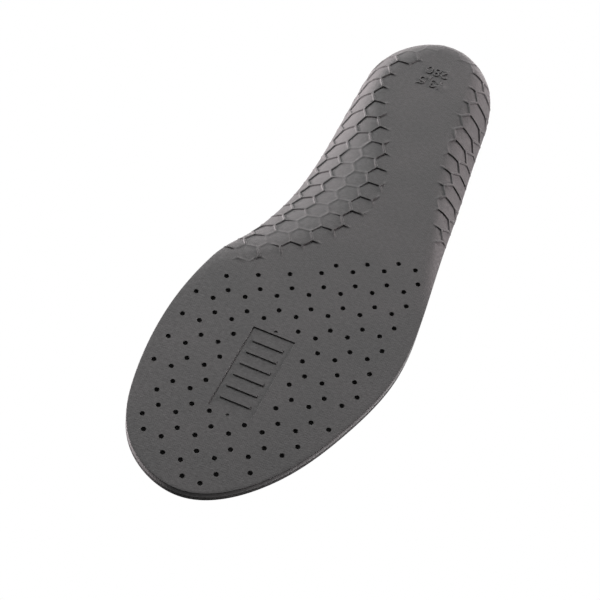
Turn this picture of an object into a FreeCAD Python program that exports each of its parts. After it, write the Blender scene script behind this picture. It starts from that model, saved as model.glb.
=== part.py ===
import FreeCAD, Part
import math
import os

from FreeCAD import Vector

# A right-foot shoe insole, in millimetres. The sole lies on Z = 0 and the foot stands on top of it.
# +Y points to the toes, +X to the outer (little-toe) side of the foot, and the origin is the middle
# of the length, on the long axis, on the sole plane.
#
# The insole is one sheet of three bonded layers. A flat middle is ringed by a flank that curls up
# into the heel cup and the arch support, and lies flat around the toes.

# ---------------------------------------------------------------- driving dimensions
LENGTH = 288.0              # heel end to toe end
BASE_THICKNESS = 2.6        # moulded foam base
CUSHION_THICKNESS = 1.2     # soft foam sheet on top of it
COVER_THICKNESS = 0.6       # knitted cover under the foot
GLUE_FILM = 0.05            # gap that the glue between two layers fills
LAYERS = (("base", BASE_THICKNESS), ("cushion", CUSHION_THICKNESS), ("cover", COVER_THICKNESS))
SHEET_THICKNESS = BASE_THICKNESS + CUSHION_THICKNESS + COVER_THICKNESS + 2 * GLUE_FILM
FLANK_POWER = 2.2           # the flank rises as this power of the distance from the crease

# Stations around the edge, counter-clockwise from the heel end:
# rim x, rim y, crease x, crease y, height of the underside at the rim.
# The rim is the outer edge of the underside. The crease is where the flat middle ends.
STATIONS = (
    (-0.5, -144.0, -1.0, -129.0, 13.5),     # heel end
    (17.3, -136.0, 10.2, -124.7, 14.0),
    (27.3, -117.0, 14.5, -111.0, 14.8),     # outer side of the heel
    (31.5, -90.0, 16.5, -92.0, 15.4),
    (36.4, -55.0, 22.5, -56.0, 12.0),
    (41.7, -15.5, 34.5, -16.0, 4.5),
    (46.8, 20.0, 40.3, 19.0, 0.3),          # outer side of the forefoot
    (48.2, 55.0, 42.2, 53.0, 0.0),
    (40.0, 89.0, 35.0, 85.0, 0.0),
    (24.5, 121.8, 21.0, 115.0, 0.0),
    (-6.0, 144.0, -6.0, 137.0, 0.0),        # toe end
    (-31.9, 133.0, -28.3, 127.0, 0.0),
    (-46.0, 100.0, -40.0, 98.0, 0.0),       # inner side of the forefoot
    (-48.8, 60.0, -43.0, 59.0, 0.0),
    (-44.8, 30.2, -38.3, 33.0, 0.8),
    (-37.0, -1.0, -13.0, 7.5, 10.2),        # front of the arch
    (-31.7, -35.0, 3.0, -30.0, 15.6),
    (-31.2, -70.0, -6.5, -67.5, 17.6),
    (-31.8, -100.0, -18.5, -98.0, 17.6),    # inner side of the heel
    (-26.2, -131.2, -11.7, -118.3, 14.8),
)
RING_POINTS = 128                           # points on each closed ring of the sheet
RING_ARCS = 4                               # stretches that each ring is split into
FLANK_STEPS = (0.0, 0.25, 0.5, 0.75, 1.0)   # from the crease to the rim

# Ventilation holes: corners of a honeycomb with two edges of each cell across the insole
HOLE_DIAMETER = 2.0
HOLE_PITCH = 7.67           # side of the honeycomb
HOLE_LATTICE_Y = 18.0       # a corner of the honeycomb lies at X = 0 and this Y
HOLE_EDGE_MARGIN = 4.4      # least distance from a hole's centre to the rim
HOLE_FRONT_Y = 13.3         # the holes end behind at a slanted line through X = 0 and this Y
HOLE_FRONT_SLOPE = 0.7      # how far that line falls back for each millimetre to the outer side
HOLE_ROWS = range(-6, 20)   # rows and columns of the honeycomb that reach past the outline
HOLE_COLUMNS = range(-5, 5)

# Flexing line of the ball of the foot, midway between two rows of holes
FLEX_ROW = 4.5
FLEX_Y = HOLE_LATTICE_Y + FLEX_ROW * HOLE_PITCH * math.sqrt(3) / 2
FLEX_GAP = 0.1              # between the two halves of each layer

# Sunk panel in the sole under the forefoot, with bars left standing across it and a pit beyond each end
PANEL_X = -4.2              # centre
PANEL_Y = 79.3
PANEL_WIDTH = 18.6
PANEL_LENGTH = 44.5
PANEL_DEPTH = 0.5
BARS = 6
BAR_LENGTH = 13.0
BAR_WIDTH = 1.2
PIT_DIAMETER = 1.0
PIT_DEPTH = 0.4
PIT_SPACING = 1.4           # from the panel's end to a pit's centre


# ---------------------------------------------------------------- the sheet
def chord_lengths(points):
    """Running distance around a closed row of plan points, one value more than there are points."""
    lengths = [0.0]
    for here, there in zip(points, points[1:] + points[:1]):
        lengths.append(lengths[-1] + here.distanceToPoint(there))
    return lengths


RIM_PLAN = [Vector(x, y, 0) for x, y, _, _, _ in STATIONS]
CREASE_PLAN = [Vector(x, y, 0) for _, _, x, y, _ in STATIONS]
RIM_HEIGHTS = [height for _, _, _, _, height in STATIONS]
KNOTS = chord_lengths(RIM_PLAN)


def closed_curve(points, knots):
    """A smooth closed curve through the points."""
    curve = Part.BSplineCurve()
    curve.interpolate(Points=points, PeriodicFlag=True, Parameters=knots)
    return curve


RIM_CURVE = closed_curve(RIM_PLAN, KNOTS)
CREASE_CURVE = closed_curve(CREASE_PLAN, KNOTS)
RIM_FACE = Part.Face(Part.Wire(RIM_CURVE.toShape()))


def height_slopes():
    """Slopes of the rim height at the stations, kept so that the height never overshoots a station."""
    count = len(STATIONS)
    spans = [KNOTS[i + 1] - KNOTS[i] for i in range(count)]
    rises = [(RIM_HEIGHTS[(i + 1) % count] - RIM_HEIGHTS[i]) / spans[i] for i in range(count)]
    slopes = []
    for i in range(count):
        before, after = rises[i - 1], rises[i]
        slopes.append(2 * before * after / (before + after) if before * after > 0 else 0.0)
    return slopes


HEIGHT_SLOPES = height_slopes()


def rim_height(along):
    """Height of the underside at the rim, at a distance along the rim."""
    count = len(STATIONS)
    i = max(k for k in range(count) if KNOTS[k] <= along)
    span = KNOTS[i + 1] - KNOTS[i]
    f = (along - KNOTS[i]) / span
    start, end = RIM_HEIGHTS[i], RIM_HEIGHTS[(i + 1) % count]
    start_slope, end_slope = HEIGHT_SLOPES[i] * span, HEIGHT_SLOPES[(i + 1) % count] * span
    return (
        start * (1 + 2 * f) * (1 - f) ** 2
        + start_slope * f * (1 - f) ** 2
        + end * f * f * (3 - 2 * f)
        - end_slope * f * f * (1 - f)
    )


def sheet_point(along, step, depth):
    """A point of the sheet: along the rim, step 0 to 1 from crease to rim, depth above the underside."""
    crease = CREASE_CURVE.value(along)
    flank = RIM_CURVE.value(along) - crease
    width = flank.Length
    outward = flank / width
    height = rim_height(along)
    slope = height * FLANK_POWER * step ** (FLANK_POWER - 1) / width
    lean = math.atan(slope)
    place = crease + flank * step + Vector(0, 0, height * step ** FLANK_POWER)
    return place - outward * (depth * math.sin(lean)) + Vector(0, 0, depth * math.cos(lean))


def ring_curve(step, depth):
    """A closed ring of the sheet, as one smooth curve."""
    positions = [KNOTS[-1] * i / RING_POINTS for i in range(RING_POINTS + 1)]
    points = [sheet_point(along, step, depth) for along in positions[:-1]]
    return closed_curve(points, positions)


def arc_ends():
    """The stretches, each a pair of distances along the rim, that every ring is split into."""
    marks = [KNOTS[-1] * i / RING_ARCS for i in range(RING_ARCS + 1)]
    return list(zip(marks, marks[1:]))


def ring_edges(step, depth):
    """A closed ring of the sheet, as edges that follow each other."""
    edges = []
    for start, end in arc_ends():
        curve = ring_curve(step, depth)
        curve.segment(start, end)
        edges.append(curve.toShape())
    return edges


def flank_faces(depth):
    """The curled-up ring around the flat middle, at one depth, skinned over closed rings."""
    rings = [ring_curve(step, depth) for step in FLANK_STEPS]
    columns = []
    for poles in zip(*[curve.getPoles() for curve in rings]):
        across = Part.BSplineCurve()
        across.interpolate(Points=list(poles), Parameters=list(FLANK_STEPS))
        columns.append(across)
    faces = []
    for start, end in arc_ends():
        surface = Part.BSplineSurface()
        surface.buildFromPolesMultsKnots(
            [column.getPoles() for column in columns],
            rings[0].getMultiplicities(),
            columns[0].getMultiplicities(),
            rings[0].getKnots(),
            columns[0].getKnots(),
            True,
            False,
            rings[0].Degree,
            columns[0].Degree,
        )
        surface.segment(start, end, 0.0, 1.0)
        faces.append(surface.toShape())
    return faces


def edge_faces(bottom, top):
    """The trimmed edge of a layer, between two depths."""
    pairs = zip(ring_edges(1.0, bottom), ring_edges(1.0, top))
    return [Part.makeRuledSurface(low, high) for low, high in pairs]


def middle_face(depth):
    """The flat middle, at one depth of the sheet."""
    return Part.Face(Part.Wire(ring_edges(0.0, depth)))


def layer(bottom, top):
    """One layer of the sheet, between two depths, as a closed solid."""
    faces = [middle_face(bottom), middle_face(top)]
    faces += flank_faces(bottom) + edge_faces(bottom, top) + flank_faces(top)
    shell = Part.makeShell(faces)
    shell.sewShape()
    solid = Part.makeSolid(shell)
    if solid.Volume < 0:
        solid.reverse()
    return solid


# ---------------------------------------------------------------- what is cut into the sheet
def holds_hole(place):
    """Whether a corner of the honeycomb gets a hole: in front, clear of the panel and of the rim."""
    in_front = place.y > HOLE_FRONT_Y - HOLE_FRONT_SLOPE * place.x
    over_panel = abs(place.x - PANEL_X) < PANEL_WIDTH / 2 and abs(place.y - PANEL_Y) < PANEL_LENGTH / 2
    if over_panel or not in_front:
        return False
    corner = Part.Vertex(place)
    inside = RIM_FACE.distToShape(corner)[0] < HOLE_DIAMETER / 2
    return inside and RIM_CURVE.toShape().distToShape(corner)[0] > HOLE_EDGE_MARGIN


def hole_places():
    """Plan places of the ventilation holes."""
    places = []
    for row in HOLE_ROWS:
        y = HOLE_LATTICE_Y + row * HOLE_PITCH * math.sqrt(3) / 2
        for column in HOLE_COLUMNS:
            x = HOLE_PITCH * (3 * column - 1 + 1.5 * (row % 2))
            places += [Vector(x, y, 0), Vector(x + HOLE_PITCH, y, 0)]
    return [place for place in places if holds_hole(place)]


def hole_cutters():
    """Round cutters through every layer, one for each ventilation hole."""
    below = Vector(0, 0, -SHEET_THICKNESS)
    depth = 3 * SHEET_THICKNESS
    return [Part.makeCylinder(HOLE_DIAMETER / 2, depth, place + below) for place in hole_places()]


def sunk_box(x, y, size_x, size_y, depth):
    """A cutter that sinks a rectangle, centred on x, y, into the sole."""
    corner = Vector(x - size_x / 2, y - size_y / 2, -depth)
    return Part.makeBox(size_x, size_y, 2 * depth, corner)


def panel_cutters():
    """The sunk panel, less its evenly spaced bars, and the two pits."""
    pitch = PANEL_LENGTH / (BARS + 1)
    bars = []
    for bar in range(BARS):
        y = PANEL_Y + (bar - (BARS - 1) / 2) * pitch
        bars.append(sunk_box(PANEL_X, y, BAR_LENGTH, BAR_WIDTH, PANEL_DEPTH))
    cutters = [sunk_box(PANEL_X, PANEL_Y, PANEL_WIDTH, PANEL_LENGTH, PANEL_DEPTH).cut(bars)]
    for side in (-1, 1):
        centre = Vector(PANEL_X, PANEL_Y + side * (PANEL_LENGTH / 2 + PIT_SPACING), -PIT_DEPTH)
        cutters.append(Part.makeCylinder(PIT_DIAMETER / 2, 2 * PIT_DEPTH, centre))
    return cutters


def half_space(toward_toes):
    """Everything on one side of the flexing line, less half of the gap between the halves."""
    size = 2 * LENGTH
    start = FLEX_Y + FLEX_GAP / 2 if toward_toes else FLEX_Y - FLEX_GAP / 2 - size
    return Part.makeBox(size, size, size, Vector(-size / 2, start, -size / 2))


def export_halves(name, solid):
    """Write a layer as the half behind the flexing line and the half in front of it."""
    for half, toward_toes in (("rearfoot", False), ("forefoot", True)):
        piece = solid.common(half_space(toward_toes)).Solids[0]
        piece.exportStep(f"parts/{name}_{half}.step")


def main():
    os.makedirs("parts", exist_ok=True)
    holes = hole_cutters()
    bottom = 0.0
    for name, thickness in LAYERS:
        solid = layer(bottom, bottom + thickness).cut(holes)
        if name == "base":
            solid = solid.cut(panel_cutters())
        export_halves(name, solid)
        bottom += thickness + GLUE_FILM


main()
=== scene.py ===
import math

import bpy
import numpy as np
from mathutils import Matrix, Vector, kdtree
from mathutils.geometry import delaunay_2d_cdt


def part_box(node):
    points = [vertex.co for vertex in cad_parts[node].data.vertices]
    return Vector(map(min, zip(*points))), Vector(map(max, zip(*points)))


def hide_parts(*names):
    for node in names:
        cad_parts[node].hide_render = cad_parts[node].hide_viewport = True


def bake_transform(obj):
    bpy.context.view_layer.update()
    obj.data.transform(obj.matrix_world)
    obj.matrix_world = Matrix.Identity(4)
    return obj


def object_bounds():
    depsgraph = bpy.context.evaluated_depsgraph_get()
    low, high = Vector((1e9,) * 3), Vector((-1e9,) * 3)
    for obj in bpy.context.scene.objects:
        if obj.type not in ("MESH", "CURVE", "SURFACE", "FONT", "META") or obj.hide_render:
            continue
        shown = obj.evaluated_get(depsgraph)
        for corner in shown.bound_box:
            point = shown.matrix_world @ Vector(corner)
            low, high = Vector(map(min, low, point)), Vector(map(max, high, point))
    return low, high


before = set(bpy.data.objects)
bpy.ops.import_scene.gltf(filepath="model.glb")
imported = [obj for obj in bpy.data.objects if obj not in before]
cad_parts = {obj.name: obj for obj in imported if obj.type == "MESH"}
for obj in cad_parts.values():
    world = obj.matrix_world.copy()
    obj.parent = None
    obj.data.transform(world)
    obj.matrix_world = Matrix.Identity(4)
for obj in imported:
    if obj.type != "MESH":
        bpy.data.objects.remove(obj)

# A shoe insole around its CAD frame: a moulded foam base with a honeycomb relief on its flanks, a soft
# foam layer and a knitted cover. Lengths are millimetres until a mesh is made, and MM turns them into
# metres. +Y points to the toes, +X to the outer side of the foot, and the sole lies on Z = 0.
MM = 0.001
cad_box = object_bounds()

# ---------------------------------------------------------------- sizes taken from the frame
LAYERS = ("base", "cushion", "cover")
BOTTOM = {name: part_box(f"{name}_forefoot")[0].z / MM for name in LAYERS}

# ---------------------------------------------------------------- the sheet
GLUE_FILM = 0.05
COVER_THICKNESS = 0.6
TOP = {
    "base": BOTTOM["cushion"] - GLUE_FILM,
    "cushion": BOTTOM["cover"] - GLUE_FILM,
    "cover": BOTTOM["cover"] + COVER_THICKNESS,
}
FLANK_POWER = 2.2           # the flank rises as this power of the distance from the crease

# Stations around the edge, counter-clockwise from the heel end:
# rim x, rim y, crease x, crease y, height of the underside at the rim.
# The rim is the outer edge of the underside. The crease is where the flat middle ends.
STATIONS = np.array([
    (-0.5, -144.0, -1.0, -129.0, 13.5),     # heel end
    (17.3, -136.0, 10.2, -124.7, 14.0),
    (27.3, -117.0, 14.5, -111.0, 14.8),     # outer side of the heel
    (31.5, -90.0, 16.5, -92.0, 15.4),
    (36.4, -55.0, 22.5, -56.0, 12.0),
    (41.7, -15.5, 34.5, -16.0, 4.5),
    (46.8, 20.0, 40.3, 19.0, 0.3),          # outer side of the forefoot
    (48.2, 55.0, 42.2, 53.0, 0.0),
    (40.0, 89.0, 35.0, 85.0, 0.0),
    (24.5, 121.8, 21.0, 115.0, 0.0),
    (-6.0, 144.0, -6.0, 137.0, 0.0),        # toe end
    (-31.9, 133.0, -28.3, 127.0, 0.0),
    (-46.0, 100.0, -40.0, 98.0, 0.0),       # inner side of the forefoot
    (-48.8, 60.0, -43.0, 59.0, 0.0),
    (-44.8, 30.2, -38.3, 33.0, 0.8),
    (-37.0, -1.0, -13.0, 7.5, 10.2),        # front of the arch
    (-31.7, -35.0, 3.0, -30.0, 15.6),
    (-31.2, -70.0, -6.5, -67.5, 17.6),
    (-31.8, -100.0, -18.5, -98.0, 17.6),    # inner side of the heel
    (-26.2, -131.2, -11.7, -118.3, 14.8),
])
RIM, CREASE, HEIGHT = STATIONS[:, 0:2], STATIONS[:, 2:4], STATIONS[:, 4]
SPANS = np.linalg.norm(np.roll(RIM, -1, axis=0) - RIM, axis=1)
KNOTS = np.concatenate([[0.0], np.cumsum(SPANS)])
PERIMETER = KNOTS[-1]

# ---------------------------------------------------------------- ventilation holes
# They lie on the corners of a honeycomb with two edges of each cell across the insole.
HOLE_DIAMETER = 2.0
HOLE_PITCH = 7.67           # side of that honeycomb
HOLE_LATTICE_Y = 18.0       # one of its corners lies at X = 0 and this Y
HOLE_EDGE_MARGIN = 4.4      # least distance from a hole's centre to the rim
HOLE_FRONT_Y = 13.3         # the holes end behind at a slanted line through X = 0 and this Y
HOLE_FRONT_SLOPE = 0.7      # how far that line falls back for each millimetre to the outer side
HOLE_SIDES = 20
HOLE_ROWS = range(-6, 20)   # rows and columns of the honeycomb that reach past the outline
HOLE_COLUMNS = range(-5, 5)

# ---------------------------------------------------------------- sunk panel under the forefoot
PANEL_X = -4.2
PANEL_Y = 79.3
PANEL_WIDTH = 18.6
PANEL_LENGTH = 44.5
PANEL_DEPTH = 0.5
PANEL_WALL = 0.2            # plan width of the sloping walls of the panel and its bars
BARS = 6
BAR_LENGTH = 13.0
BAR_WIDTH = 1.2
PIT_DIAMETER = 1.6
PIT_DEPTH = 0.4
PIT_SPACING = 1.4

# ---------------------------------------------------------------- honeycomb relief on the flanks
CELL_PITCH = 9.4            # flat to flat, along Y
CELL_SIDE = CELL_PITCH / math.sqrt(3)
CELL_X = 0.3                # centre of one cell
CELL_Y = -15.6
CELL_COLUMNS = range(-6, 7) # cells that can reach the flanks, counted from that one
CELL_ROWS = range(-15, 8)
RIDGE_FOOT = 0.65           # half width of a ridge at its foot, and of its top
RIDGE_TOP = 0.3
RIDGE_HEIGHT = 0.6
RIM_FADE = 1.8              # distance from the rim over which the ridges reach their height
RIM_SHARE = 0.3             # share of that height left at the rim
FLANKS_PART = 8.0           # X between the inner and the outer flank's relief
INNER_START = (-3.0, 0.3)   # distances beyond the crease where the relief begins and where it is full
OUTER_START = (0.5, 5.0)
INNER_FRONT = 29.0          # Y where the relief ends in front, on the inner and the outer flank
OUTER_FRONT = -18.0
FRONT_FADE = 6.0
INNER_HEEL = -127.0         # Y where it ends behind
OUTER_HEEL = -136.0
HEEL_FADE = 12.0
HEEL_SHARE = 0.15           # share of a ridge's height left at the end of the heel
ARCH_LOW = (0.1, 0.3)       # steps up the arch where its belt of lower ridges begins and where it is full
ARCH_HIGH = (0.7, 0.5)      # steps where the belt ends and where it is still full
ARCH_BACK = (-75.0, -55.0)  # Y where the belt begins and where it is full
ARCH_SHARE = 0.25           # share of a ridge's height left in the belt

# ---------------------------------------------------------------- size mark under the heel
MARK_ROWS = (("43.5", -107.8), ("280", -115.3))     # digits and the Y of their middle
MARK_X = -0.1
DIGIT_HEIGHT = 4.3
DIGIT_WIDTH = 0.6 * DIGIT_HEIGHT
DIGIT_ADVANCE = 3.7
POINT_ADVANCE = 1.4
MARK_FOOT = 0.5             # half width of the digits' strokes at the foot, and of their top
MARK_TOP = 0.3
MARK_HEIGHT = 0.4

# ---------------------------------------------------------------- edges
EDGE_RADIUS = 0.3           # of the lower corner of the base's trimmed edge
EDGE_FADE = 0.6             # height up the edge over which the relief at its foot fades out

# ---------------------------------------------------------------- mesh fineness
OUTLINE_STEP = 1.1          # between points along the outline
FINE_STEP = 1.3             # between points on the flanks of the underside
COARSE_STEP = 2.6           # between points elsewhere
LINE_STEP = 1.0             # along the digits and the panel
CELL_STEP = 1.1             # along the honeycomb's lines
CELL_INSETS = (0.0, RIDGE_TOP, (RIDGE_TOP + RIDGE_FOOT) / 2, RIDGE_FOOT, 1.6, 2.8)
CREASE_STEP = 1.0           # between the points that stand for the crease when distances are measured
SEARCH_STEP = 0.05          # between the points that stand for the rim in a search
RIDGE_APART = 0.08          # least distance between the outline's points at the ridges
EVEN_APART = OUTLINE_STEP / 3       # and between those and the evenly spaced ones
CLEARANCE = 0.7             # of the fill points from the lines
OUTLINE_CLEARANCE = 0.25    # of the honeycomb's lines from the outline
FLANK_RINGS = 14            # rings of fill points on the flank of a plain face
GRID_MARGIN = 5.0           # of the grids of fill points around the insole
PIT_SIDES = 12
CORNER_POINTS = 4           # on a rounded corner
LENGTH_PIECES = 12          # pieces in which a flank's length is added up
MITRE_LIMIT = 0.3           # keeps a line beside a stroke from running off at a sharp corner
MERGE_DISTANCE = 1e-5       # points closer than this become one
ROUNDING = 1e-6             # keeps a length of whole steps from getting one step more
SHARP_ANGLE = 40.0          # degrees between faces from which an edge is shaded as an edge

# ---------------------------------------------------------------- search for the place of a plan point
RAYS = 480                  # lines from crease to rim that are tried first
RAY_START = -0.02           # steps between which a point may lie on such a line
RAY_END = 1.1
BATCH = 4000                # points tried at a time
REFINEMENTS = 8             # corrections of the first guess
LARGEST_SHIFT = 3.0         # largest change of the distance along the rim in one correction
LARGEST_STEP = 0.3          # largest change of the step in one correction
STEP_LIMITS = (-0.1, 1.2)


def smoothstep(low, high, value):
    """0 at low, 1 at high and smooth in between."""
    share = np.clip((value - low) / (high - low), 0.0, 1.0)
    return share * share * (3 - 2 * share)


# ================================================================ the sheet's shape
def smooth_slopes(values):
    """Slopes at the stations of the closed curve through the values that bends without a jump."""
    count = len(values)
    chords = (np.roll(values, -1, axis=0) - values) / SPANS[:, None]
    system = np.zeros((count, count))
    sides = np.zeros_like(values)
    for i in range(count):
        before, after = SPANS[i - 1], SPANS[i]
        system[i, i - 1] = after
        system[i, i] = 2 * (before + after)
        system[i, (i + 1) % count] = before
        sides[i] = 3 * (after * chords[i - 1] + before * chords[i])
    return np.linalg.solve(system, sides)


def level_slopes(values):
    """Slopes at the stations that keep a closed curve from overshooting any of its values."""
    after = (np.roll(values, -1) - values) / SPANS
    before = np.roll(after, 1)
    rising_on = before * after > 0
    total = np.where(rising_on, before + after, 1.0)
    return np.where(rising_on, 2 * before * after / total, 0.0)


RIM_SLOPES = smooth_slopes(RIM)
CREASE_SLOPES = smooth_slopes(CREASE)
HEIGHT_SLOPES = level_slopes(HEIGHT)


def closed_curve(values, slopes, along):
    """Value and rate of change of a closed curve at distances along the rim."""
    along = np.mod(along, PERIMETER)
    i = np.clip(np.searchsorted(KNOTS, along, side="right") - 1, 0, len(SPANS) - 1)
    j = (i + 1) % len(SPANS)
    span = SPANS[i]
    f = (along - KNOTS[i]) / span       # 0 at the station before, 1 at the station after
    if values.ndim > 1:
        span, f = span[:, None], f[:, None]
    start, end = values[i], values[j]
    leaving, arriving = slopes[i] * span, slopes[j] * span
    value = start * (1 + 2 * f) * (1 - f) ** 2 + end * f * f * (3 - 2 * f)
    value += leaving * f * (1 - f) ** 2 - arriving * f * f * (1 - f)
    rate = 6 * f * (1 - f) * (end - start) + leaving * (1 - f) * (1 - 3 * f) + arriving * f * (3 * f - 2)
    return value, rate / span


def flank_at(along):
    """Crease point, vector from crease to rim, its length, and rim height at distances along the rim."""
    crease = closed_curve(CREASE, CREASE_SLOPES, along)[0]
    flank = closed_curve(RIM, RIM_SLOPES, along)[0] - crease
    return crease, flank, np.linalg.norm(flank, axis=1), closed_curve(HEIGHT, HEIGHT_SLOPES, along)[0]


def cross(a, b):
    """Cross product of plan vectors."""
    return a[..., 0] * b[..., 1] - a[..., 1] * b[..., 0]


def inside_loop(plan, loop):
    """Which plan points lie inside a closed loop."""
    inside = np.zeros(len(plan), bool)
    for (x0, y0), (x1, y1) in zip(loop, np.roll(loop, -1, axis=0)):
        if y0 == y1:
            continue
        between = (plan[:, 1] < y0) != (plan[:, 1] < y1)
        inside ^= between & (plan[:, 0] < x0 + (plan[:, 1] - y0) * (x1 - x0) / (y1 - y0))
    return inside


def nearest_distances(plan, others):
    """Distance of each plan point from the nearest of the others."""
    tree = kdtree.KDTree(len(others))
    for i, (x, y) in enumerate(others):
        tree.insert((x, y, 0), i)
    tree.balance()
    return np.array([tree.find((x, y, 0))[2] for x, y in plan])


def nearest_rays(plan):
    """A first guess at the places of plan points: the nearest of many lines from crease to rim."""
    rays = np.linspace(0, PERIMETER, RAYS, endpoint=False)
    crease, flank, width, _ = flank_at(rays)
    outward = flank / width[:, None]
    along = np.zeros(len(plan))
    step = np.zeros(len(plan))
    for part in np.array_split(np.arange(len(plan)), max(1, len(plan) // BATCH)):
        offset = plan[part][:, None, :] - crease[None]
        ahead = (offset * outward).sum(axis=2) / width
        aside = np.abs(cross(offset, outward[None]))
        aside[(ahead < RAY_START) | (ahead > RAY_END)] = np.inf
        nearest = aside.argmin(axis=1)
        rows = np.arange(len(part))
        on_flank = np.isfinite(aside[rows, nearest])
        along[part] = rays[nearest]
        step[part] = np.where(on_flank, ahead[rows, nearest], 0.0)
    return along, step


def locate(plan):
    """Distance along the rim, and step 0 to 1 from crease to rim, of plan points.

    The flat middle has step 0."""
    along, step = nearest_rays(plan)
    flanked = np.nonzero(step != 0.0)[0]
    place, share, target = along[flanked], step[flanked], plan[flanked]
    for _ in range(REFINEMENTS):
        crease, crease_rate = closed_curve(CREASE, CREASE_SLOPES, place)
        rim, rim_rate = closed_curve(RIM, RIM_SLOPES, place)
        outward = rim - crease
        sideways = crease_rate + (rim_rate - crease_rate) * share[:, None]
        miss = target - crease - outward * share[:, None]
        size = cross(sideways, outward)
        place = place + np.clip(cross(miss, outward) / size, -LARGEST_SHIFT, LARGEST_SHIFT)
        share = share + np.clip(cross(sideways, miss) / size, -LARGEST_STEP, LARGEST_STEP)
        share = np.clip(share, *STEP_LIMITS)
    along[flanked] = np.mod(place, PERIMETER)
    step[flanked] = np.clip(share, 0.0, None)
    return along, step


def lift(plan, along, step, depth):
    """Points of the sheet at a depth above the points of its underside that lie over plan."""
    _, flank, width, height = flank_at(along)
    outward = flank / width[:, None]
    lean = np.arctan(height * FLANK_POWER * step ** (FLANK_POWER - 1) / width)
    place = plan - outward * (depth * np.sin(lean))[:, None]
    return np.column_stack([place, height * step ** FLANK_POWER + depth * np.cos(lean)])


def unrolled(plan, along, step):
    """Plan points with the flank rolled out flat, so that a pattern drawn there keeps its size."""
    _, flank, width, height = flank_at(along)
    length = np.zeros(len(plan))
    for piece in range(LENGTH_PIECES):
        middle = step * (piece + 0.5) / LENGTH_PIECES
        slope = height * FLANK_POWER * middle ** (FLANK_POWER - 1) / width
        length += np.sqrt(1 + slope * slope) * step * width / LENGTH_PIECES
    stretch = (length - step * width)[:, None]
    return plan + flank / width[:, None] * stretch


# ================================================================ the underside's relief
def cell_grid():
    """Centres of the honeycomb's cells."""
    centres = []
    for column in CELL_COLUMNS:
        for row in CELL_ROWS:
            x = CELL_X + column * 1.5 * CELL_SIDE
            y = CELL_Y + (row + 0.5 * (column % 2)) * CELL_PITCH
            centres.append((x, y))
    return np.array(centres)


CELL_CENTRES = cell_grid()
CELL_NORMALS = np.array([(math.cos(a), math.sin(a)) for a in np.radians((30, 90, 150))])


def honeycomb_gap(plan):
    """Distance of plan points from the nearest line of the honeycomb."""
    gap = np.full(len(plan), -np.inf)
    for centre in CELL_CENTRES:
        reach = np.abs((plan - centre) @ CELL_NORMALS.T).max(axis=1)
        gap = np.maximum(gap, CELL_PITCH / 2 - reach)
    return np.maximum(gap, 0.0)


def beyond_crease(plan):
    """Distance of plan points beyond the crease, negative on the flat middle."""
    crease = closed_curve(CREASE, CREASE_SLOPES, np.arange(0, PERIMETER, CREASE_STEP))[0]
    distances = nearest_distances(plan, crease)
    return np.where(inside_loop(plan, crease), -distances, distances)


def relief_share(plan, along, step):
    """How high the honeycomb's ridges are at plan points, 0 to 1."""
    beyond = beyond_crease(plan)
    inner = plan[:, 0] < FLANKS_PART
    share = np.where(inner, smoothstep(*INNER_START, beyond), smoothstep(*OUTER_START, beyond))
    front = np.where(inner, INNER_FRONT, OUTER_FRONT)
    share *= smoothstep(front, front - FRONT_FADE, plan[:, 1])
    heel = np.where(inner, INNER_HEEL, OUTER_HEEL)
    share *= HEEL_SHARE + (1 - HEEL_SHARE) * smoothstep(heel, heel + HEEL_FADE, plan[:, 1])
    belt = smoothstep(*ARCH_LOW, step) * smoothstep(*ARCH_HIGH, step) * inner
    share *= 1 - (1 - ARCH_SHARE) * belt * smoothstep(*ARCH_BACK, plan[:, 1])
    from_rim = (1 - step) * flank_at(along)[2]
    share *= RIM_SHARE + (1 - RIM_SHARE) * smoothstep(0.0, RIM_FADE, from_rim)
    hole_gap = np.min([np.linalg.norm(plan - hole, axis=1) for hole in HOLES], axis=0)
    return share * smoothstep(HOLE_DIAMETER, 2 * HOLE_DIAMETER, hole_gap)


def ridge_profile(distance, foot, top):
    """Height of a ridge, 0 to 1, at a distance from its middle. foot and top are half widths."""
    return smoothstep(foot, top, distance)


def segment_distance(plan, start, end):
    """Distance of plan points from a straight segment."""
    start, end = np.array(start), np.array(end)
    run = end - start
    share = np.clip((plan - start) @ run / (run @ run), 0.0, 1.0)
    return np.linalg.norm(plan - start - share[:, None] * run, axis=1)


def arc(x, y, radius_x, radius_y, start, end, count):
    """Points of an elliptical arc, between two angles in degrees."""
    return [
        (x + radius_x * math.cos(a), y + radius_y * math.sin(a))
        for a in np.radians(np.linspace(start, end, count))
    ]


# Digits of the size mark as strokes in a box 0.6 wide and 1 tall, and the point as a short stroke
DIGITS = {
    "0": [arc(0.3, 0.5, 0.3, 0.5, 0, 360, 21)],
    "2": [arc(0.3, 0.72, 0.28, 0.28, 160, -40, 12) + [(0.02, 0.0), (0.6, 0.0)]],
    "3": [arc(0.28, 0.75, 0.27, 0.25, 150, -90, 11) + arc(0.28, 0.26, 0.3, 0.26, 90, -150, 11)],
    "4": [[(0.44, 0.0), (0.44, 1.0), (0.0, 0.3), (0.6, 0.3)]],
    "5": [[(0.58, 1.0), (0.08, 1.0), (0.04, 0.56)] + arc(0.29, 0.33, 0.3, 0.33, 140, -140, 12)],
    ".": [[(0.0, 0.0), (0.0, 0.06)]],
    "8": [arc(0.3, 0.76, 0.24, 0.24, -90, 270, 17), arc(0.3, 0.26, 0.3, 0.26, 90, 450, 19)],
}


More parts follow.
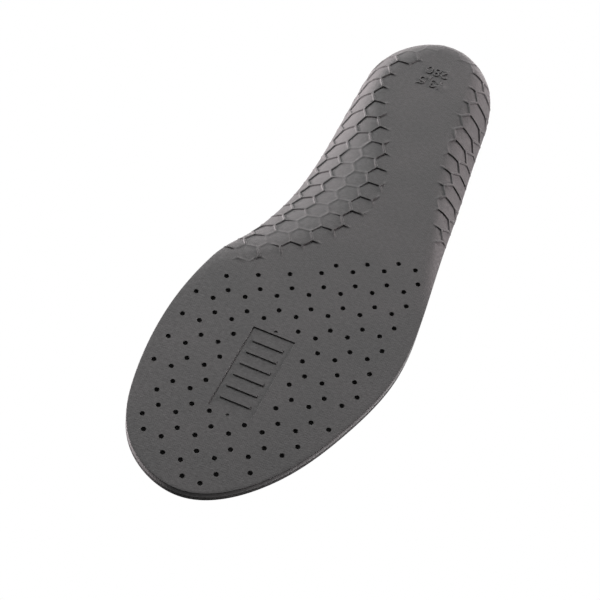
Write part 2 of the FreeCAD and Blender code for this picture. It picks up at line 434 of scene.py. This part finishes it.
def mark_strokes():
    """The strokes of the size mark. It is read from below with the toes up, so it runs towards -X."""
    strokes = []
    for text, y in MARK_ROWS:
        advances = [POINT_ADVANCE if digit == "." else DIGIT_ADVANCE for digit in text]
        left = MARK_X + (sum(advances) - DIGIT_ADVANCE + DIGIT_WIDTH) / 2
        for digit, advance in zip(text, advances):
            for stroke in DIGITS[digit]:
                strokes.append([
                    (left - u * DIGIT_HEIGHT, y + (v - 0.5) * DIGIT_HEIGHT) for u, v in stroke
                ])
            left -= advance
    return strokes


def panel_rectangles():
    """Centre and half sizes of the panel and then of its bars."""
    pitch = PANEL_LENGTH / (BARS + 1)
    rectangles = [((PANEL_X, PANEL_Y), (PANEL_WIDTH / 2, PANEL_LENGTH / 2))]
    for bar in range(BARS):
        y = PANEL_Y + (bar - (BARS - 1) / 2) * pitch
        rectangles.append(((PANEL_X, y), (BAR_LENGTH / 2, BAR_WIDTH / 2)))
    return rectangles


def pit_centres():
    """Plan places of the two pits, one beyond each end of the panel."""
    reach = PANEL_LENGTH / 2 + PIT_SPACING
    return [(PANEL_X, PANEL_Y - reach), (PANEL_X, PANEL_Y + reach)]


MARK = mark_strokes()
PANEL, *BAR_PLACES = panel_rectangles()
PITS = pit_centres()


def inside_rectangle(plan, rectangle):
    """How far plan points lie inside a rectangle's edge."""
    centre, half = rectangle
    return (half - np.abs(plan - centre)).min(axis=1)


def relief_depth(plan, along, step):
    """How far the underside is sunk at plan points. Where it stands proud, this is negative."""
    depth = -RIDGE_HEIGHT * ridge_profile(honeycomb_gap(plan), RIDGE_FOOT, RIDGE_TOP)
    depth *= relief_share(plan, along, step)
    sunk = np.clip(inside_rectangle(plan, PANEL) / PANEL_WALL, 0.0, 1.0)
    for bar in BAR_PLACES:
        sunk -= np.clip(1 + inside_rectangle(plan, bar) / PANEL_WALL, 0.0, 1.0)
    depth += PANEL_DEPTH * sunk
    for centre in PITS:
        away = np.linalg.norm(plan - centre, axis=1)
        depth += PIT_DEPTH * np.clip((PIT_DIAMETER / 2 - away) / PANEL_WALL, 0.0, 1.0)
    nearest = np.full(len(plan), np.inf)
    for stroke in MARK:
        for start, end in zip(stroke, stroke[1:]):
            nearest = np.minimum(nearest, segment_distance(plan, start, end))
    return depth - MARK_HEIGHT * ridge_profile(nearest, MARK_FOOT, MARK_TOP)


# ================================================================ plan meshes
SQUARE = ((-1, -1), (1, -1), (1, 1), (-1, 1))       # sides of a rectangle's corners, in order


def divided(points, step, closed=False):
    """A row of points with more points put in, so that they lie at most a step apart."""
    points = np.array(points, float)
    ends = np.roll(points, -1, axis=0) if closed else points[1:]
    row = []
    for start, end in zip(points, ends):
        count = max(1, math.ceil(np.linalg.norm(end - start) / step - ROUNDING))
        row += [start + (end - start) * i / count for i in range(count)]
    if not closed:
        row.append(points[-1])
    return np.array(row)


def circle(centre, radius, count):
    """Points of a circle."""
    return np.array(arc(*centre, radius, radius, 0, 360, count + 1)[:-1])


def beside(stroke, distance):
    """A stroke moved sideways by a distance."""
    stroke = np.array(stroke)
    closed = np.allclose(stroke[0], stroke[-1])
    runs = np.diff(stroke, axis=0)
    sides = np.column_stack([-runs[:, 1], runs[:, 0]]) / np.linalg.norm(runs, axis=1)[:, None]
    before = np.vstack([sides[-1] if closed else sides[0], sides])
    after = np.vstack([sides, sides[0] if closed else sides[-1]])
    middle = (before + after) / 2
    middle /= np.maximum((middle * middle).sum(axis=1), MITRE_LIMIT)[:, None]
    return stroke + middle * distance


def mark_lines():
    """Open lines that follow the size mark: along the middle, the top's edges and the feet."""
    lines = []
    for stroke in MARK:
        for distance in (0.0, MARK_TOP, -MARK_TOP, MARK_FOOT, -MARK_FOOT):
            lines.append(divided(beside(stroke, distance), LINE_STEP))
    return lines


def panel_outlines():
    """Closed lines that follow the sunk panel, its bars and its pits."""
    outlines = [(PANEL, 0.0), (PANEL, -PANEL_WALL)]
    outlines += [(bar, grown) for bar in BAR_PLACES for grown in (0.0, PANEL_WALL)]
    loops = []
    for ((x, y), (half_x, half_y)), grown in outlines:
        corners = [(x + i * (half_x + grown), y + j * (half_y + grown)) for i, j in SQUARE]
        loops.append(divided(corners, LINE_STEP, closed=True))
    for radius in (PIT_DIAMETER / 2 - PANEL_WALL, PIT_DIAMETER / 2):
        loops += [circle(centre, radius, PIT_SIDES) for centre in PITS]
    return loops


def cell_loops():
    """Closed lines in each cell of the honeycomb: on its border, over the ridge's slope and inside it."""
    angles = np.radians(np.arange(0, 360, 60))
    hexagon = np.column_stack([np.cos(angles), np.sin(angles)])
    loops = []
    for centre in CELL_CENTRES:
        for inset in CELL_INSETS:
            side = (CELL_PITCH / 2 - inset) * 2 / math.sqrt(3)
            loops.append(divided(centre + side * hexagon, CELL_STEP, closed=True))
        loops.append(np.array([centre]))
    return loops


def grid_points(step):
    """A triangular grid of plan points over the whole insole."""
    low, high = RIM.min(axis=0) - GRID_MARGIN, RIM.max(axis=0) + GRID_MARGIN
    row_height = step * math.sqrt(3) / 2
    points = []
    for row in range(int((high[1] - low[1]) / row_height)):
        shift = step / 2 * (row % 2)
        xs = np.arange(low[0] + shift, high[0], step)
        points.append(np.column_stack([xs, np.full(len(xs), low[1] + row * row_height)]))
    return np.vstack(points)


def far_from(plan, others, distance):
    """Which plan points are further than a distance from all the others."""
    return nearest_distances(plan, others) > distance


def triangulate(borders, loops, lines, fill):
    """Triangles between the borders (the outline, then the holes) that follow the loops and lines.

    Returns the plan points, the triangles, and for each border the numbers of its points."""
    points, edges, starts = [], [], []
    for row, closed in [(row, True) for row in borders + loops] + [(row, False) for row in lines]:
        first = len(points)
        starts.append(first)
        points += [tuple(point) for point in row]
        numbers = list(range(first, first + len(row)))
        edges += list(zip(numbers, numbers[1:]))
        if closed and len(row) > 2:
            edges.append((numbers[-1], first))
    points += [tuple(point) for point in fill]
    found, _, faces, origins, _, _ = delaunay_2d_cdt(
        [Vector(point) for point in points], edges, [], 1, MERGE_DISTANCE
    )
    number = {}
    for new, olds in enumerate(origins):
        for old in olds:
            number[old] = new
    rings = [[number[first + i] for i in range(len(border))] for first, border in zip(starts, borders)]
    return np.array([tuple(point) for point in found]), outside_holes(faces, rings[1:]), rings


def outside_holes(faces, hole_rings):
    """The faces that don't fill a hole, for a hole's faces have all their points on one hole's edge."""
    hole_of = {}
    for hole, ring in enumerate(hole_rings):
        for point in ring:
            hole_of[point] = hole
    kept = []
    for face in faces:
        holes = {hole_of.get(point) for point in face}
        if len(holes) > 1 or None in holes:
            kept.append(tuple(face))
    return kept


# ================================================================ rims and holes
def rim_point(along, inset):
    """Plan points of the underside at a distance inside the rim, with their steps."""
    crease, flank, width, _ = flank_at(along)
    step = 1 - inset / width
    return crease + flank * step[:, None], step


def outline_positions(inset):
    """Distances along the rim of the outline's points.

    Besides the even ones, one lies wherever the middle, the top's edge or the foot of a ridge
    meets the outline."""
    fine = np.arange(0, PERIMETER, SEARCH_STEP)
    plan, step = rim_point(fine, inset)
    gap = honeycomb_gap(plan)
    marked = (gap < np.roll(gap, 1)) & (gap < np.roll(gap, -1)) & (gap < RIDGE_TOP / 2)
    for level in (RIDGE_TOP, RIDGE_FOOT):
        marked |= (gap < level) != (np.roll(gap, -1) < level)
    marked &= relief_share(plan, fine, step) > 0
    kept = []
    for position in fine[marked]:
        if not kept or position - kept[-1] > RIDGE_APART:
            kept.append(position)
    even = np.linspace(0, PERIMETER, round(PERIMETER / OUTLINE_STEP), endpoint=False)
    apart = np.abs(even[:, None] - np.array(kept)[None]).min(axis=1)
    return np.sort(np.concatenate([kept, even[apart > EVEN_APART]]))


def hole_centres():
    """Plan places of the ventilation holes."""
    places = []
    for row in HOLE_ROWS:
        y = HOLE_LATTICE_Y + row * HOLE_PITCH * math.sqrt(3) / 2
        for column in HOLE_COLUMNS:
            x = HOLE_PITCH * (3 * column - 1 + 1.5 * (row % 2))
            places += [(x, y), (x + HOLE_PITCH, y)]
    places = np.array(places)
    rim = rim_point(np.arange(0, PERIMETER, SEARCH_STEP), 0.0)[0]
    keep = inside_loop(places, rim) & (inside_rectangle(places, PANEL) < 0)
    keep &= places[:, 1] > HOLE_FRONT_Y - HOLE_FRONT_SLOPE * places[:, 0]
    keep &= far_from(places, rim, HOLE_EDGE_MARGIN)
    return places[keep]


HOLES = hole_centres()


# ================================================================ layers
class Layer:
    """One layer of the sheet while its mesh is put together."""

    def __init__(self, name, along):
        self.name = name
        self.along = along
        self.parts = []
        self.count = 0
        self.faces = []

    def add(self, plan, where, step, depth, in_hole=0.0):
        """Adds points and returns their numbers."""
        depth = np.broadcast_to(depth, len(plan))
        in_hole = np.broadcast_to(in_hole, len(plan))
        self.parts.append((plan, where, step, depth, in_hole))
        self.count += len(plan)
        return np.arange(self.count - len(plan), self.count)

    def add_face(self, inset, radius, depth, guides, downward=False, relief=False):
        """Adds the bottom or the top face.

        Returns the numbers of its outline's points and of those on each hole's edge."""
        outline, outline_step = rim_point(self.along, inset)
        borders = [outline] + [circle(centre, radius, HOLE_SIDES) for centre in HOLES]
        loops, lines, fill = guides
        fill = fill[inside_loop(fill, outline)]
        fill = fill[far_from(fill, np.vstack(borders + loops + lines), CLEARANCE)]
        fill = fill[far_from(fill, HOLES, radius + CLEARANCE)]
        plan, triangles, rings = triangulate(borders, loops, lines, fill)
        where, step = locate(plan)
        where[rings[0]] = self.along
        step[rings[0]] = outline_step
        if relief:
            depth = depth + relief_depth(plan, where, step)
        numbers = self.add(plan, where, step, depth)
        order = (2, 1, 0) if downward else (0, 1, 2)
        self.faces += [tuple(numbers[t[i]] for i in order) for t in triangles]
        return [numbers[ring] for ring in rings]

    def add_wall(self, rings):
        """Joins closed rings of points, from the bottom up, with faces that look outwards."""
        for low, high in zip(rings, rings[1:]):
            next_low, next_high = np.roll(low, -1), np.roll(high, -1)
            self.faces += list(zip(low, next_low, next_high, high))

    def add_rim(self, edge, bottom, top, relief):
        """Adds the trimmed edge. The relief at the bottom face's outline fades out up the edge."""
        rings = [bottom]
        for inset, depth in edge[1:-1]:
            plan, step = rim_point(self.along, inset)
            faded = relief * max(0.0, 1 - depth / EDGE_FADE)
            rings.append(self.add(plan, self.along, step, depth + faded))
        self.add_wall(rings + [top])

    def add_holes(self, hole, bottoms, tops):
        """Adds the walls of the holes between their edges in the bottom face and in the top face."""
        rows = [bottoms]
        for radius, depth in hole[1:-1]:
            plan = np.vstack([circle(centre, radius, HOLE_SIDES) for centre in HOLES])
            numbers = self.add(plan, *locate(plan), depth, in_hole=1.0)
            rows.append(np.split(numbers, len(HOLES)))
        for rings in zip(*rows, tops):
            self.add_wall([ring[::-1] for ring in rings])

    def finished(self):
        """The mesh object, in metres.

        Its attribute "cloth" holds the rolled-out place in millimetres, and "in_hole" is 1 on the
        walls of the holes."""
        plan, where, step, depth, in_hole = (np.concatenate(values) for values in zip(*self.parts))
        cloth = np.column_stack([unrolled(plan, where, step), depth])
        mesh = bpy.data.meshes.new(self.name)
        mesh.from_pydata((lift(plan, where, step, depth) * MM).tolist(), [], self.faces)
        places = mesh.attributes.new("cloth", "FLOAT_VECTOR", "POINT")
        places.data.foreach_set("vector", cloth.astype(np.float32).ravel())
        marks = mesh.attributes.new("in_hole", "FLOAT", "POINT")
        marks.data.foreach_set("value", in_hole.astype(np.float32))
        mesh.polygons.foreach_set("use_smooth", [True] * len(mesh.polygons))
        mesh.set_sharp_from_angle(angle=math.radians(SHARP_ANGLE))
        mesh.update()
        piece = bpy.data.objects.new(self.name, mesh)
        bpy.context.scene.collection.objects.link(piece)
        return piece


def build_layer(name, along, edge, hole, guides, relief):
    """A closed layer.

    edge is its trimmed edge as (inset, depth) pairs from the bottom face to the top face, and hole
    the wall of a hole as (radius, depth) pairs. guides are the loops, lines and fill points of the
    bottom face, which has the relief if the layer is to have one."""
    layer = Layer(name, along)
    (low_inset, low_depth), (high_inset, high_depth) = edge[0], edge[-1]
    bottom = layer.add_face(low_inset, hole[0][0], low_depth, guides, downward=True, relief=relief)
    top = layer.add_face(high_inset, hole[-1][0], high_depth, plain_guides())
    plan, step = rim_point(along, low_inset)
    layer.add_rim(edge, bottom[0], top[0], relief_depth(plan, along, step) if relief else 0.0)
    layer.add_holes(hole, bottom[1:], top[1:])
    return layer.finished()


def plain_guides():
    """No loops or lines, and the fill points of a plain face: rings on the flank and a coarse grid
    on the flat middle."""
    rings = []
    for ring in range(FLANK_RINGS):
        along = np.arange(0, PERIMETER, COARSE_STEP) + COARSE_STEP / 2 * (ring % 2)
        crease, flank, _, _ = flank_at(along)
        rings.append(crease + flank * ((ring + 0.5) / FLANK_RINGS))
    coarse = grid_points(COARSE_STEP)
    return [], [], np.vstack(rings + [coarse[locate(coarse)[1] <= 0]])


def underside_guides():
    """Loops, lines and fill points for the underside of the base."""
    loops = cell_loops()
    shown = np.split(near_relief(np.vstack(loops)), np.cumsum([len(loop) for loop in loops])[:-1])
    whole = [loop for loop, show in zip(loops, shown) if show.all()]
    lines = mark_lines()
    for loop, show in zip(loops, shown):
        if show.any() and not show.all():
            lines += broken_loop(loop, show)
    fine, coarse = grid_points(FINE_STEP), grid_points(COARSE_STEP)
    fill = np.vstack([fine[locate(fine)[1] > 0], coarse[locate(coarse)[1] <= 0]])
    return whole + panel_outlines(), lines, fill


def near_relief(plan):
    """Which plan points lie where the honeycomb relief shows, clear of the outline."""
    along, step = locate(plan)
    room = (1 - step) * flank_at(along)[2]
    return (relief_share(plan, along, step) > 0) & (room > EDGE_RADIUS + OUTLINE_CLEARANCE)


def broken_loop(loop, show):
    """The shown stretches of a closed loop, as open lines."""
    start = int(np.argmin(show))
    stretches, current = [], []
    for point, shown in zip(np.roll(loop, -start, axis=0), np.roll(show, -start)):
        if shown:
            current.append(point)
        elif current:
            stretches.append(np.array(current))
            current = []
    return stretches + ([np.array(current)] if current else [])


def corner(radius, start, end, depth):
    """A rounded corner of an edge as (inset, depth) pairs. Depth is that of the corner's centre."""
    return [
        (radius * (1 - math.cos(a)), depth + radius * math.sin(a))
        for a in np.radians(np.linspace(start, end, CORNER_POINTS))
    ]


def rounded_edge(name, lower, upper):
    """The trimmed edge of a layer with a rounded corner at the bottom and at the top."""
    return corner(lower, -90, 0, BOTTOM[name] + lower) + corner(upper, 0, 90, TOP[name] - upper)


def hole_wall(name, lower, upper):
    """The wall of a hole through a layer, with a chamfer at the bottom and at the top."""
    radius = HOLE_DIAMETER / 2
    return [
        (radius + lower, BOTTOM[name]),
        (radius, BOTTOM[name] + lower),
        (radius, TOP[name] - upper),
        (radius + upper, TOP[name]),
    ]


# ================================================================ materials
class Shader:
    """A node material under construction. Inputs are sockets of other nodes or plain values."""

    def __init__(self, name):
        self.material = bpy.data.materials.new(name)
        self.material.use_nodes = True
        self.tree = self.material.node_tree
        self.surface = self.tree.nodes["Principled BSDF"]

    def put(self, node, inputs):
        """Links or sets a node's inputs."""
        for key, value in inputs.items():
            if isinstance(value, bpy.types.NodeSocket):
                self.tree.links.new(value, node.inputs[key])
            else:
                node.inputs[key].default_value = value

    def node(self, kind, inputs, output=0, **settings):
        """Adds a node and returns one of its outputs."""
        node = self.tree.nodes.new(kind)
        for key, value in settings.items():
            setattr(node, key, value)
        self.put(node, inputs)
        return node.outputs[output]

    def cloth(self):
        """Rolled-out place on the sheet, in millimetres."""
        return self.node("ShaderNodeAttribute", {}, output="Vector", attribute_name="cloth")

    def in_hole(self):
        """1 on the walls of the ventilation holes."""
        return self.node("ShaderNodeAttribute", {}, output="Fac", attribute_name="in_hole")

    def math(self, operation, *values):
        """The result of a sum, a product or another operation on values."""
        return self.node("ShaderNodeMath", dict(enumerate(values)), operation=operation)

    def noise(self, place, size, detail=2.0):
        """Soft noise whose features are about size millimetres across."""
        inputs = {"Vector": place, "Scale": 1 / size, "Detail": detail}
        return self.node("ShaderNodeTexNoise", inputs, output="Fac")

    def along(self, place, degrees, pitch):
        """Phase in turns of a straight pattern that repeats every pitch millimetres towards an angle."""
        turn = math.radians(degrees)
        inputs = {0: place, 1: (math.cos(turn) / pitch, math.sin(turn) / pitch, 0.0)}
        return self.node("ShaderNodeVectorMath", inputs, output="Value", operation="DOT_PRODUCT")

    def wave(self, phase):
        """0 to 1 and back once a turn of the phase."""
        swing = self.math("COSINE", self.math("MULTIPLY", phase, math.tau))
        return self.math("MULTIPLY_ADD", swing, 0.5, 0.5)

    def waves(self, place, pitch, *angles):
        """The product of waves that run towards the angles."""
        product = self.wave(self.along(place, angles[0], pitch))
        for angle in angles[1:]:
            product = self.math("MULTIPLY", product, self.wave(self.along(place, angle, pitch)))
        return product

    def mix(self, share, first, second):
        """The first colour at share 0, the second at share 1 and a mixture in between."""
        return self.node("ShaderNodeMix", {0: share, 6: first, 7: second}, output=2, data_type="RGBA")

    def span(self, value, low, high, to_low, to_high):
        """A value between low and high moved to between to_low and to_high."""
        inputs = {0: value, 1: low, 2: high, 3: to_low, 4: to_high}
        return self.node("ShaderNodeMapRange", inputs)

    def bump(self, height, size, normal=None):
        """Normal of a surface raised by height times size, in millimetres."""
        inputs = {"Height": height, "Distance": size * MM, "Strength": 1.0}
        if normal is not None:
            inputs["Normal"] = normal
        return self.node("ShaderNodeBump", inputs)


def grey(value, warmth=0.0):
    """A near-neutral colour. Warmth shifts it towards red."""
    return (value * (1 + warmth), value * (1 - warmth / 2), value * (1 - warmth / 4), 1.0)


HOLE_PAINTED_SHADE = grey(0.008)    # painted shade: near black on the walls of the ventilation holes, as dark as shade deep in a hole

# Sizes and heights of the patterns on the materials, in millimetres
FOAM_CLOUDS = 30.0
FOAM_MOTTLE = 1.6
FOAM_MOTTLE_HEIGHT = 0.05
FOAM_GRAIN = 0.8
FOAM_GRAIN_HEIGHT = 0.09
HATCH_PITCH = 0.75
HATCH_HEIGHT = 0.025
PORE_SIZE = 0.45
PORE_HEIGHT = 0.12
LOOP_WIDTH = 0.85
LOOP_LENGTH = 0.7
LOOP_HEIGHT = 0.16
DIMPLE_PITCH = 2.6
DIMPLE_DEPTH = 0.3
FUZZ_SIZE = 0.5
FUZZ_HEIGHT = 0.05
KNIT_CLOUDS = 24.0


def moulded_foam():
    """Dense matte foam of the base, with the fine cross-hatched skin of its mould."""
    shader = Shader("moulded_foam")
    place = shader.cloth()
    cloudy = shader.noise(place, FOAM_CLOUDS, 3.0)
    mottled = shader.noise(place, FOAM_MOTTLE, 3.0)
    tone = shader.mix(shader.span(cloudy, 0.35, 0.65, 0.0, 1.0), grey(0.106), grey(0.12, 0.02))
    tone = shader.mix(shader.span(mottled, 0.3, 0.7, 0.0, 0.35), tone, grey(0.085, 0.02))
    # painted shade: the walls of the holes are coloured near black, as if no light reached into them
    tone = shader.mix(shader.in_hole(), tone, HOLE_PAINTED_SHADE)
    skin = shader.bump(shader.waves(place, HATCH_PITCH, 45, -45), HATCH_HEIGHT)
    skin = shader.bump(mottled, FOAM_MOTTLE_HEIGHT, skin)
    skin = shader.bump(shader.noise(place, FOAM_GRAIN), FOAM_GRAIN_HEIGHT, skin)
    shader.put(shader.surface, {
        "Base Color": tone,
        "Roughness": shader.span(mottled, 0.3, 0.7, 0.62, 0.78),
        "Specular IOR Level": 0.35,
        "Sheen Weight": 0.12,
        "Sheen Roughness": 0.5,
        "Normal": skin,
    })
    return shader.material


def open_foam():
    """Soft foam of the cushion layer, with open pores."""
    shader = Shader("open_foam")
    pores = shader.noise(shader.cloth(), PORE_SIZE)
    # painted shade: the foam is coloured darker in the pores, where the bump sinks in
    tone = shader.mix(shader.span(pores, 0.35, 0.6, 0.0, 1.0), grey(0.05), grey(0.16, 0.01))
    # painted shade: the walls of the holes are coloured near black, as if no light reached into them
    tone = shader.mix(shader.in_hole(), tone, HOLE_PAINTED_SHADE)
    shader.put(shader.surface, {
        "Base Color": tone,
        "Roughness": 0.9,
        "Specular IOR Level": 0.2,
        "Normal": shader.bump(pores, PORE_HEIGHT),
    })
    return shader.material


def knit():
    """Black knit of the cover: columns of small loops with a regular pattern of dimples."""
    shader = Shader("knit")
    place = shader.cloth()
    across = shader.along(place, 0, LOOP_WIDTH)
    zigzag = shader.math("ABSOLUTE", shader.math("SUBTRACT", shader.math("FRACT", across), 0.5))
    upward = shader.math("ADD", shader.along(place, 90, LOOP_LENGTH), zigzag)
    loops = shader.math("MULTIPLY", shader.wave(across), shader.wave(upward))
    dimples = shader.waves(place, DIMPLE_PITCH, 0, 60, 120)
    cloudy = shader.noise(place, KNIT_CLOUDS)
    # painted shade and light: darker in the valleys between the loops, lighter on their raised tops
    tone = shader.mix(loops, grey(0.012), grey(0.034))
    # painted shade: the sunk dimples are coloured near black
    tone = shader.mix(shader.span(dimples, 0.1, 0.7, 0.0, 0.8), tone, grey(0.008))
    tone = shader.mix(shader.span(cloudy, 0.35, 0.65, 0.0, 0.25), tone, grey(0.045))
    skin = shader.bump(loops, LOOP_HEIGHT)
    skin = shader.bump(dimples, -DIMPLE_DEPTH, skin)
    skin = shader.bump(shader.noise(place, FUZZ_SIZE, 3.0), FUZZ_HEIGHT, skin)
    shader.put(shader.surface, {
        "Base Color": tone,
        "Roughness": 0.85,
        "Specular IOR Level": 0.25,
        "Sheen Weight": 0.35,
        "Sheen Roughness": 0.45,
        "Sheen Tint": grey(0.5),
        "Normal": skin,
    })
    return shader.material


# ================================================================ the insole
# Name, material, radii of the edge's bottom and top corner, and chamfers of the holes at the bottom
# and at the top
PIECES = (
    ("base", moulded_foam, (EDGE_RADIUS, 0.15), (0.16, 0.0)),
    ("cushion", open_foam, (0.25, 0.25), (0.0, 0.0)),
    ("cover", knit, (0.05, 0.3), (0.0, 0.15)),
)


def add_pieces():
    """The three layers, each in place of its two halves in the frame."""
    along = outline_positions(EDGE_RADIUS)
    for name, material, corners, chamfers in PIECES:
        relief = name == "base"
        guides = underside_guides() if relief else plain_guides()
        edge = rounded_edge(name, *corners)
        piece = build_layer(name, along, edge, hole_wall(name, *chamfers), guides, relief)
        piece.data.materials.append(material())
        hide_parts(f"{name}_rearfoot", f"{name}_forefoot")
        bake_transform(piece)


# ================================================================ stage, light and camera
FLOOR_SIZE = 6.0            # metres
FLOOR_GAP = 0.7             # below the sole, so that it clears the ridges
FLOOR_GLOW = 0.6
AIM = (-2.2, 35.5, 0.0)     # the point of the sole that the camera looks at
CAMERA_DISTANCE = 970.0
CAMERA_SWING = 17.4         # from +Y towards +X
CAMERA_DROP = 50.3          # below the sole
CAMERA_ROLL = 188.0         # about the line of sight
LENS = 141.0
LIGHT_DISTANCE = 1.0        # metres
LIGHT_SIZE = 0.45           # metres
WORLD_BEHIND = 0.5          # brightness of the world behind the insole, and on the camera's side
WORLD_BESIDE = 0.03
WORLD_TURN = 0.5            # cosine of the angle over which one turns into the other
WORLD_SEEN = 1.0            # brightness of the world where the camera sees it
NEUTRAL = (1.0, 1.0, 1.0)
ROSY = (1.0, 0.9, 0.92)


def add_floor():
    """A pale floor that shows from above only: from below the view goes through it."""
    shader = Shader("pale_floor")
    shader.put(shader.surface, {
        "Base Color": grey(0.5),
        "Roughness": 0.9,
        "Emission Color": grey(1.0),
        "Emission Strength": FLOOR_GLOW,
    })
    facing_away = shader.node("ShaderNodeNewGeometry", {}, output="Backfacing")
    clear = shader.node("ShaderNodeBsdfTransparent", {})
    both = shader.node("ShaderNodeMixShader", {0: facing_away, 1: shader.surface.outputs[0], 2: clear})
    shader.put(shader.tree.nodes["Material Output"], {"Surface": both})
    mesh = bpy.data.meshes.new("floor")
    half = FLOOR_SIZE / 2
    z = cad_box[0].z - FLOOR_GAP * MM
    corners = [(i * half, j * half, z) for i, j in SQUARE]
    mesh.from_pydata(corners, [], [(0, 1, 2, 3)])
    mesh.materials.append(shader.material)
    floor = bpy.data.objects.new("floor", mesh)
    bpy.context.scene.collection.objects.link(floor)
    floor.visible_shadow = False
    floor.visible_diffuse = False
    floor.visible_glossy = False


def direction(azimuth, elevation):
    """Direction at an angle from the toes towards the outer side, and an angle above the sole."""
    turn, rise = math.radians(azimuth), math.radians(elevation)
    return Vector((math.sin(turn) * math.cos(rise), math.cos(turn) * math.cos(rise), math.sin(rise)))


def add_light(name, azimuth, elevation, watts, colour):
    """A soft square light that looks at the insole's middle."""
    lamp = bpy.data.lights.new(name, "AREA")
    lamp.size = LIGHT_SIZE
    lamp.energy = watts
    lamp.color = colour
    light = bpy.data.objects.new(name, lamp)
    towards = direction(azimuth, elevation)
    light.location = towards * LIGHT_DISTANCE
    light.rotation_mode = "QUATERNION"
    light.rotation_quaternion = towards.to_track_quat("Z", "Y")
    light.visible_camera = False
    bpy.context.scene.collection.objects.link(light)


def add_lights():
    """Soft lights around the insole. Azimuths run from the toes towards the outer side."""
    for name, azimuth, elevation, watts, colour in (
        ("key", 225, -38, 8.0, NEUTRAL),
        ("outer_low", 135, -8, 8.5, ROSY),
        ("inner_low", 270, -4, 3.0, ROSY),
        ("inner_side", 265, 18, 19.0, ROSY),
        ("outer_side", 90, 25, 2.0, ROSY),
        ("heel_side", 180, 25, 3.5, ROSY),
        ("top", 150, 70, 6.0, NEUTRAL),
    ):
        add_light(name, azimuth, elevation, watts, colour)


def add_world():
    """White to the camera. On everything else it shines softly, and mostly from behind the insole."""
    world = bpy.data.worlds.new("studio")
    bpy.context.scene.world = world
    world.use_nodes = True
    tree = world.node_tree
    place = tree.nodes.new("ShaderNodeTexCoord")
    facing = tree.nodes.new("ShaderNodeVectorMath")
    facing.operation = "DOT_PRODUCT"
    facing.inputs[1].default_value = direction(CAMERA_SWING, -CAMERA_DROP)
    glow = tree.nodes.new("ShaderNodeMapRange")
    levels = {"From Min": -WORLD_TURN, "From Max": WORLD_TURN, "To Min": WORLD_BEHIND, "To Max": WORLD_BESIDE}
    for key, value in levels.items():
        glow.inputs[key].default_value = value
    ray = tree.nodes.new("ShaderNodeLightPath")
    strength = tree.nodes.new("ShaderNodeMix")
    strength.inputs[3].default_value = WORLD_SEEN
    background = tree.nodes["Background"]
    background.inputs["Color"].default_value = (1.0, 1.0, 1.0, 1.0)
    tree.links.new(place.outputs["Generated"], facing.inputs[0])
    tree.links.new(facing.outputs["Value"], glow.inputs["Value"])
    tree.links.new(glow.outputs[0], strength.inputs[2])
    tree.links.new(ray.outputs["Is Camera Ray"], strength.inputs[0])
    tree.links.new(strength.outputs[0], background.inputs["Strength"])


def add_camera():
    """Looks up at the sole from in front of the toes, a little from the outer side."""
    back = direction(CAMERA_SWING, -CAMERA_DROP)
    roll = math.radians(CAMERA_ROLL)
    level = Vector((0, 0, 1)).cross(back).normalized()
    upright = back.cross(level)
    right = math.cos(roll) * level + math.sin(roll) * upright
    turn = Matrix((right, back.cross(right), back)).transposed().to_4x4()
    camera = bpy.data.objects.new("camera", bpy.data.cameras.new("camera"))
    camera.data.lens = LENS
    camera.data.clip_start = 0.01
    camera.matrix_world = Matrix.Translation((Vector(AIM) + back * CAMERA_DISTANCE) * MM) @ turn
    bpy.context.scene.collection.objects.link(camera)
    bpy.context.scene.camera = camera


add_pieces()
add_floor()
add_lights()
add_world()
add_camera()
bpy.context.scene.view_settings.view_transform = "Standard"
